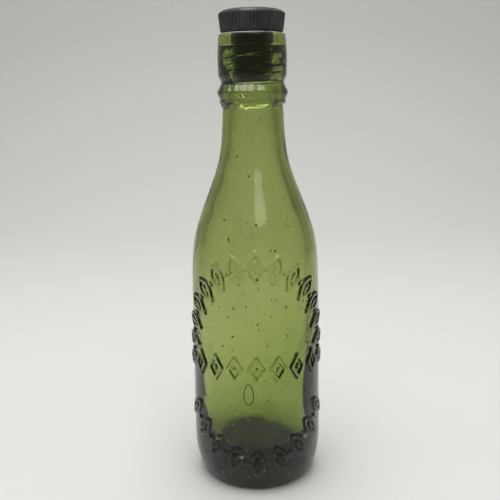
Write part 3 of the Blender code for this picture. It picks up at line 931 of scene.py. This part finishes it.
def make_stopper():
    rows = stopper_rows()
    effects = ("coarse", "ridge", "ribs")
    sizes = {"Ribs": float(HEAD_RIBS), "Rib Depth": RIB_DEPTH, "Ridge": RIDGE_HEIGHT}
    tree = turned_tree("turned_rubber", sizes, effects, rubber_shape)
    spread = {
        "Rows": len(rows),
        "Columns": STOPPER_COLUMNS,
        "Merge": MERGE_DISTANCE,
        **EVEN_COLUMNS,
    }
    outline = row_mesh("rubber_outline", rows, effects)
    return closed_piece(grown("stopper_rubber", outline, tree, hard_rubber(), {**sizes, **spread}))


stopper = make_stopper()
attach(stopper, "root")
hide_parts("stopper")

# Stage. A pale sweep of paper that rises behind the bottle, with one wide soft light over it,
# the narrow panes of a high window round the front, and a low strip behind that lights the
# glass through. The room is plain and pale, but dim in front, so that the glass stays dark.

SWEEP_WIDTH = 3.0
SWEEP_FRONT = -2.0
SWEEP_FOOT = 0.55
SWEEP_RADIUS = 0.5
SWEEP_TOP = 1.6
SWEEP_DROP = 0.2 * MM
PAPER_COLOUR = (0.80, 0.785, 0.75)
FRONT_COLOUR = (0.38, 0.374, 0.36)
PAPER_FRONT = (-0.2, -0.045)
LIGHTS = {
    # The place of each, what it is aimed at, its size and its power.
    "overhead": ((0.0, -0.05, 0.95), (0.0, -0.05, 0.0), (0.55, 0.8), 5.1),
    "back": ((0.0, 0.8, 0.62), (0.0, 0.0, 0.12), (0.8, 0.08), 0.5),
    "window": ((0.27, -1.13, 0.86), (0.0, 0.0, 0.14), (0.55, 0.14), 0.42),
    "window_edge": ((0.27, -1.13, 0.86), (0.0, 0.0, 0.14), (0.38, 0.26), 0.4),
}
PANES_SHOW_AT = (-42.0, -28.5, -15.0, -1.5, 13.5)
PANE_REACH = 1.16
PANE_SIZE = (0.35, 0.095)
PANE_POWER = 0.43
COLLAR_HEIGHT = 189.5 * MM
COLLAR_FLANK_RISE = math.radians(25)
ROOM_LOW = (0.14, 0.14, 0.14)
ROOM_HIGH = (0.5, 0.5, 0.5)
ROOM_RISE = (0.35, 0.7)
ROOM_SIDES = (-0.7, -0.15)
ROOM_SIDES_SHARE = 0.65
CAMERA_PLACE = (0.0, -0.331, 0.187)
CAMERA_DOWN = math.radians(12.64)
CAMERA_TURN = math.radians(0.41)
CAMERA_ROLL = math.radians(-0.9)
FOCAL_PIXELS = 700.0
FRAME_PIXELS = 500.0


def make_sweep():
    bend = arc((SWEEP_FOOT, SWEEP_RADIUS), (SWEEP_RADIUS, SWEEP_RADIUS), -90, 0, 24)
    line = [(SWEEP_FRONT, 0.0), *bend, (SWEEP_FOOT + SWEEP_RADIUS, SWEEP_TOP)]
    points, faces = [], []
    for depth, height in line:
        points += [(side * SWEEP_WIDTH / 2, depth, height - SWEEP_DROP) for side in (-1, 1)]
    for i in range(len(line) - 1):
        faces.append((2 * i, 2 * i + 1, 2 * i + 3, 2 * i + 2))
    mesh = bpy.data.meshes.new("sweep")
    mesh.from_pydata(points, [], faces)
    mesh.shade_smooth()
    sweep = link("sweep", mesh)
    material, shader, wire = new_material("sweep_paper", {"Roughness": 0.9})
    forward = wire.node("ShaderNodeTexCoord", output="Object").split()[1]
    along = {0: forward.between(*PAPER_FRONT), 6: (*FRONT_COLOUR, 1.0), 7: (*PAPER_COLOUR, 1.0)}
    feed(shader, "Base Color", wire.node("ShaderNodeMix", {"data_type": "RGBA"}, along, 2))
    mesh.materials.append(material)
    return sweep


def make_light(name, place, aim, size, power):
    data = bpy.data.lights.new(name, "AREA")
    data.shape = "RECTANGLE"
    data.size, data.size_y = size
    data.energy = power
    lamp = bpy.data.objects.new(name, data)
    lamp.location = place
    lamp.rotation_euler = (Vector(aim) - Vector(place)).to_track_quat("-Z", "Y").to_euler()
    bpy.context.scene.collection.objects.link(lamp)


def make_pane(name, turn):
    """A pane of the window, placed where the upper flank of the lip's V-shaped collar mirrors
    it to someone in front, at this turn round the collar."""
    flank = Matrix.Rotation(turn, 3, "Z") @ Matrix.Rotation(-COLLAR_FLANK_RISE, 3, "X") @ Vector((0, -1, 0))
    collar = Vector((0.0, 0.0, COLLAR_HEIGHT))
    place = collar + PANE_REACH * Vector((0.0, 1.0, 0.0)).reflect(flank)
    make_light(name, place, collar, PANE_SIZE, PANE_POWER)


def make_room():
    """Pale all round, but dim low down in front, where the glass mirrors it to the camera."""
    world = bpy.data.worlds.new("room")
    world.use_nodes = True
    wire = Wire(world.node_tree)
    _, backward, height = wire.node("ShaderNodeTexCoord", output="Generated").split()
    sides = backward.between(*ROOM_SIDES) * ROOM_SIDES_SHARE
    pale = wire.math("MAXIMUM", height.between(*ROOM_RISE), sides)
    tones = {0: pale, 6: (*ROOM_LOW, 1.0), 7: (*ROOM_HIGH, 1.0)}
    tone = wire.node("ShaderNodeMix", {"data_type": "RGBA"}, tones, 2)
    background = world.node_tree.nodes["Background"]
    world.node_tree.links.new(tone.socket, background.inputs["Color"])
    bpy.context.scene.world = world


def make_camera():
    data = bpy.data.cameras.new("camera")
    data.sensor_width = 36.0
    data.lens = data.sensor_width * FOCAL_PIXELS / FRAME_PIXELS
    data.clip_start = 0.01
    camera = bpy.data.objects.new("camera", data)
    aim = Matrix.Rotation(CAMERA_TURN, 4, "Z") @ Matrix.Rotation(math.pi / 2 - CAMERA_DOWN, 4, "X")
    roll = Matrix.Rotation(CAMERA_ROLL, 4, "Z")
    camera.matrix_world = Matrix.Translation(CAMERA_PLACE) @ aim @ roll
    bpy.context.scene.collection.objects.link(camera)
    bpy.context.scene.camera = camera


make_sweep()
for name, (place, aim, size, power) in LIGHTS.items():
    make_light(name, place, aim, size, power)
for number, degrees in enumerate(PANES_SHOW_AT):
    make_pane("pane_%d" % number, math.radians(degrees))
make_room()
bpy.context.scene.view_settings.view_transform = "Standard"
make_camera()
